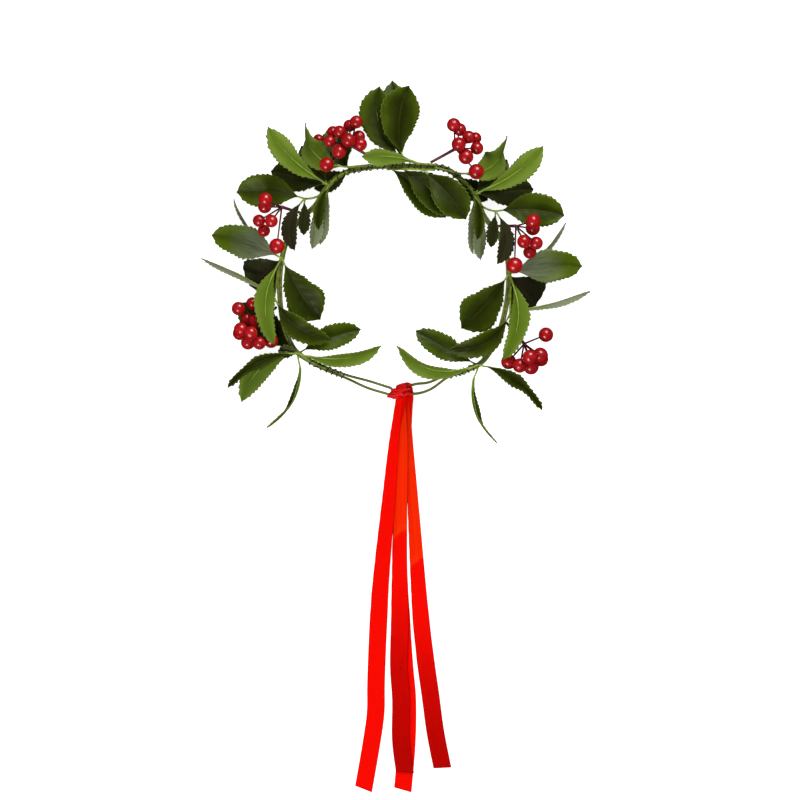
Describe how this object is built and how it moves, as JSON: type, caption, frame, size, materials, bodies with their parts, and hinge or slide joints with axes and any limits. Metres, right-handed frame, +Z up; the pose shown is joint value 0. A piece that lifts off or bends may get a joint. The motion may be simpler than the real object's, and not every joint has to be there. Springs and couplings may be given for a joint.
{
  "type": "laurel wreath crown",
  "caption": "Laurel wreath crown: a wire ring wound with sprigs of toothed leaves and red berry clusters, tied at the back with long red satin ribbon tails.",
  "frame": {"origin": "middle of the head opening, on the surface that the wreath lies on", "axes": "+Z up through the head opening, +Y away from the ribbon tails, +X to the right when seen from above"},
  "size_m": [0.3513, 0.6407, 0.0604],
  "materials": {
    "frame_wire": "green tape-covered wire",
    "binding_wire": "thin dark green binding wire",
    "sprig_stem": "yellow-green moulded stem",
    "leaf": "dark green glossy leaf with a pale matt underside",
    "berry": "glossy red",
    "berry_stalk": "dark red moulded stalk",
    "ribbon": "red satin ribbon"
  },
  "bodies": {
    "root": {"frame_wire": "frame_wire", "binding_left": "binding_wire", "binding_right": "binding_wire", "binding_top": "binding_wire", "stem_left_low": "sprig_stem", "stem_left_mid_low": "sprig_stem", "stem_left_mid": "sprig_stem", "stem_left_high": "sprig_stem", "stem_left_upper": "sprig_stem", "stem_left_crest": "sprig_stem", "stem_right_low": "sprig_stem", "stem_right_mid_low": "sprig_stem", "stem_right_mid": "sprig_stem", "stem_right_high": "sprig_stem", "stem_right_upper": "sprig_stem", "stem_right_crest": "sprig_stem", "stem_top": "sprig_stem", "stem_inner": "sprig_stem", "leaves_left_low": "leaf", "leaves_left_mid_low": "leaf", "leaves_left_mid": "leaf", "leaves_left_high": "leaf", "leaves_left_upper": "leaf", "leaves_left_crest": "leaf", "leaves_right_low": "leaf", "leaves_right_mid_low": "leaf", "leaves_right_mid": "leaf", "leaves_right_high": "leaf", "leaves_right_upper": "leaf", "leaves_right_crest": "leaf", "leaves_top": "leaf", "leaves_inner": "leaf", "berry_stem_left_upper": "berry_stalk", "berry_stem_left_mid": "berry_stalk", "berry_stem_left_low": "berry_stalk", "berry_stem_right_upper": "berry_stalk", "berry_stem_right_mid": "berry_stalk", "berry_stem_right_low": "berry_stalk", "berries_left_upper": "berry", "berries_left_mid": "berry", "berries_left_low": "berry", "berries_right_upper": "berry", "berries_right_mid": "berry", "berries_right_low": "berry", "ribbon_knot": "ribbon", "tail_left": "ribbon", "tail_mid_front": "ribbon", "tail_mid_back": "ribbon", "tail_right": "ribbon"}
  },
  "joints": []
}
